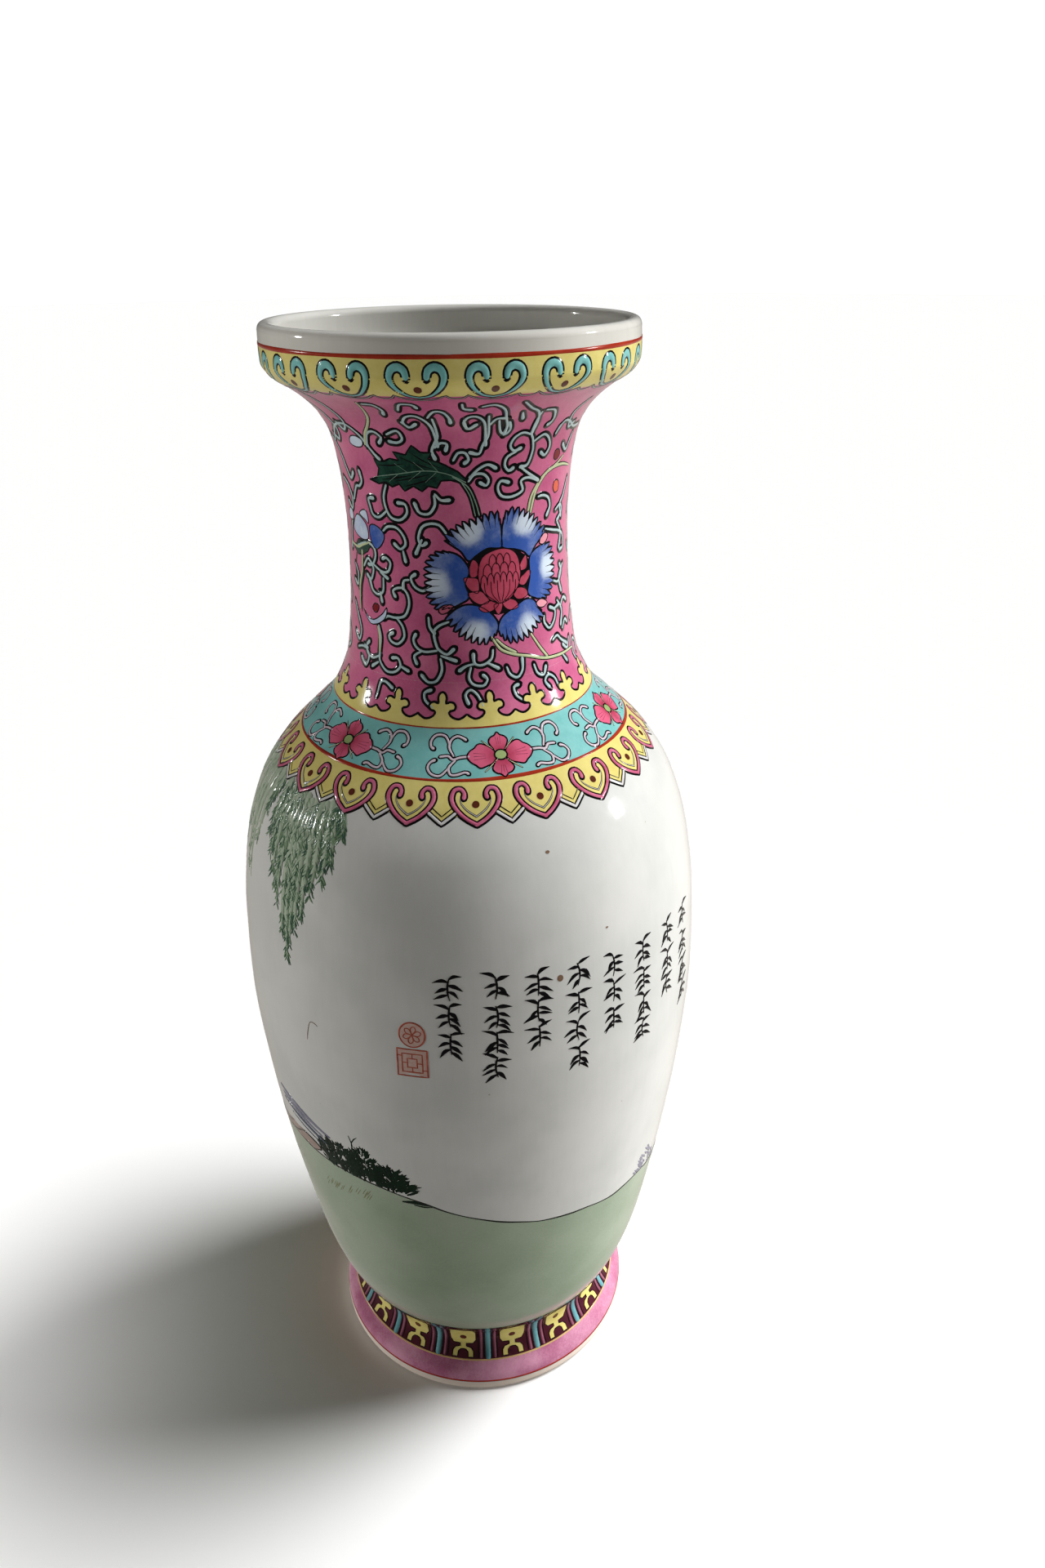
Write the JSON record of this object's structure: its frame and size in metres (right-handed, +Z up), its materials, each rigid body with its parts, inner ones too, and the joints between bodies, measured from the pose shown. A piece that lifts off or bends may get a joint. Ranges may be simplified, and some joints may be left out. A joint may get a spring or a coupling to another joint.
{
  "type": "vase",
  "caption": "Tall baluster vase of thrown porcelain with a waisted neck, a dished mouth and a splayed foot, glazed and painted in overglaze enamels.",
  "frame": {"origin": "centre of the circle that the foot stands on, at floor level", "axes": "+Z up along the turning axis; -Y is the front of the painting"},
  "size_m": [0.1906, 0.1906, 0.46],
  "materials": {
    "foot_enamel": "glossy pink overglaze enamel on glazed porcelain",
    "body_glaze": "glossy clear glaze over white porcelain",
    "neck_enamel": "glossy rouge-pink overglaze enamel",
    "mouth_glaze": "glossy clear glaze, slightly grey",
    "slip": "fired porcelain slip, matt"
  },
  "bodies": {
    "root": {"foot_ring": "foot_enamel", "foot_slip_seam": "slip", "lower_body": "body_glaze", "belly_slip_seam": "slip", "upper_body": "body_glaze", "shoulder_slip_seam": "slip", "neck": "neck_enamel", "mouth_slip_seam": "slip", "mouth": "mouth_glaze"}
  },
  "joints": []
}
